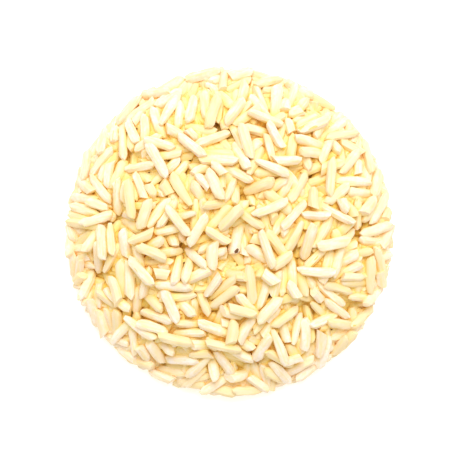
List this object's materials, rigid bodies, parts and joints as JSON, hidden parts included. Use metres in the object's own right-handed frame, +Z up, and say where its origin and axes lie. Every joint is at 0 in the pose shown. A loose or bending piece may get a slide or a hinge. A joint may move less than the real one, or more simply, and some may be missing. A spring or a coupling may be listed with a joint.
{
  "type": "heap of dry long-grain rice",
  "caption": "Small round heap of loose, dry, long-grain white rice, low and gently domed, lying on a flat surface.",
  "frame": {"origin": "on the ground, at the middle of the heap's underside", "axes": "+Z up, +Y towards the top of the picture, +X towards its right"},
  "size_m": [0.0606, 0.0606, 0.0152],
  "materials": {
    "rice": "smooth, dry cream-white grains, slightly translucent"
  },
  "bodies": {
    "root": {"rice_heap": "rice"}
  },
  "joints": []
}
